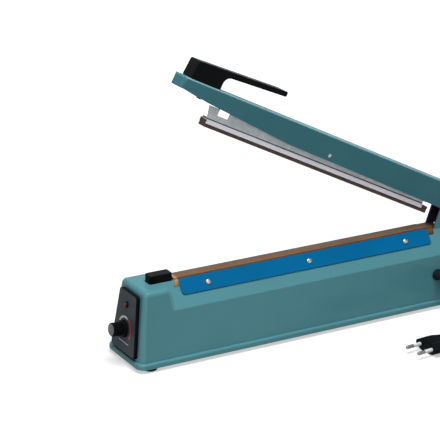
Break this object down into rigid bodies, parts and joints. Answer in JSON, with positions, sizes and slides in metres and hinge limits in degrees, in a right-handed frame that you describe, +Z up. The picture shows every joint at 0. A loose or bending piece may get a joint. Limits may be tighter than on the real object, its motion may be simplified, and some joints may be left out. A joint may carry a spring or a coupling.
{
  "type": "impulse sealer",
  "caption": "Hand impulse heat sealer: long painted body with a cloth-covered jaw, open hinged lever with sprung pressure bar and handle, timer knob and mains lead with a flat two-pin plug",
  "frame": {"origin": "on the table under the middle of the machine without its lead, between the knob's front and the body's rear", "axes": "+X runs from the knob end to the hinge end along the jaw, +Z up, and the mains lead leaves on the -Y side"},
  "size_m": [0.4928, 0.2201, 0.3145],
  "materials": {
    "teal_paint": "smooth semi-gloss powder coat",
    "blue_paint": "smooth semi-gloss paint",
    "release_cloth": "woven coated cloth, satin",
    "black_plastic": "fine moulded grain",
    "grey_film": "printed film, satin",
    "grey_plastic": "satin disc",
    "red_lens": "clear red, glossy",
    "bright_steel": "zinc plated, bright",
    "zinc_sheet": "galvanised sheet",
    "spring_steel": "oiled wire",
    "alloy": "extruded, satin",
    "bar_rubber": "silicone strip, matt",
    "black_rubber": "matt",
    "brass_parts": "bare",
    "board_green": "lacquered board",
    "parts_dark": "moulded components",
    "core_iron": "varnished laminations",
    "winding_wire": "enamelled wire",
    "insulation": "coated glass cloth strip",
    "white_plastic": "satin",
    "red_plastic": "satin",
    "cord_black": "satin jacket"
  },
  "bodies": {
    "base": {"body_shell": "teal_paint", "base_plate": "zinc_sheet", "base_screws": "bright_steel", "rubber_feet": "black_rubber", "control_panel": "black_plastic", "panel_film": "grey_film", "lamp_holder": "black_plastic", "lamp_lens": "red_lens", "potentiometer": "zinc_sheet", "pot_nut": "bright_steel", "timer_board": "board_green", "board_parts": "parts_dark", "transformer_core": "core_iron", "transformer_winding": "winding_wire", "transformer_strap": "zinc_sheet", "transformer_screws": "bright_steel", "switch_bracket": "zinc_sheet", "microswitch": "black_plastic", "button_spring": "spring_steel", "jaw_bar": "alloy", "jaw_screws": "bright_steel", "jaw_backing": "insulation", "heating_strip": "bright_steel", "strip_terminals": "brass_parts", "release_cloth": "release_cloth", "clamp_plate_near": "blue_paint", "clamp_plate_far": "blue_paint", "clamp_screws": "bright_steel", "hinge_bracket": "teal_paint", "bracket_screws": "bright_steel", "hinge_pin": "bright_steel", "pin_clip": "spring_steel", "hinge_bush": "zinc_sheet", "return_spring": "spring_steel", "cord_gland": "black_rubber", "gland_nut": "black_plastic", "cord_lead": "cord_black", "cord_coil": "cord_black", "cord_tail": "cord_black", "cord_tie": "black_plastic", "plug_body": "black_plastic", "plug_pins": "bright_steel", "pin_sleeves": "white_plastic"},
    "lever": {"lever_arm": "teal_paint", "spring_seat": "zinc_sheet", "seat_rivets": "bright_steel", "switch_tab": "teal_paint", "lever_handle": "black_plastic", "handle_screws": "bright_steel", "hanger_pin": "teal_paint", "pressure_spring": "spring_steel"},
    "bar": {"bar_hanger": "zinc_sheet", "hanger_screws": "bright_steel", "pressure_bar": "alloy", "rubber_strip": "bar_rubber"},
    "button": {"switch_button": "black_plastic", "switch_plunger": "red_plastic"},
    "knob": {"timer_knob": "black_plastic", "knob_cap": "grey_plastic", "pot_shaft": "bright_steel"}
  },
  "joints": [
    {"name": "lever_hinge", "type": "hinge", "parent": "base", "child": "lever", "pos_m": [0.19047, 0, 0.1095], "axis": [0, -1, 0], "range_deg": [0, 30], "stiffness_Nm_per_rad": 3, "springref_deg": -34.38, "deforming": ["return_spring"]},
    {"name": "bar_pivot", "type": "hinge", "parent": "lever", "child": "bar", "pos_m": [0.15945, 0, 0.11907], "axis": [0, 1, 0], "range_deg": [0, 3.1], "deforming": ["pressure_spring"]},
    {"name": "button_press", "type": "slide", "parent": "base", "child": "button", "axis": [0, 0, -1], "range_m": [0, 0.003], "stiffness_N_per_m": 300, "springref_m": -0.003, "deforming": ["button_spring"]},
    {"name": "timer_turn", "type": "hinge", "parent": "base", "child": "knob", "pos_m": [-0.20644, 0, 0.03735], "axis": [-0.9937, 0, 0.1123], "range_deg": [-140, 140]}
  ],
  "couplings": [
    {"joint": "bar_pivot", "follows": "lever_hinge", "ratio": 0.10333}
  ]
}
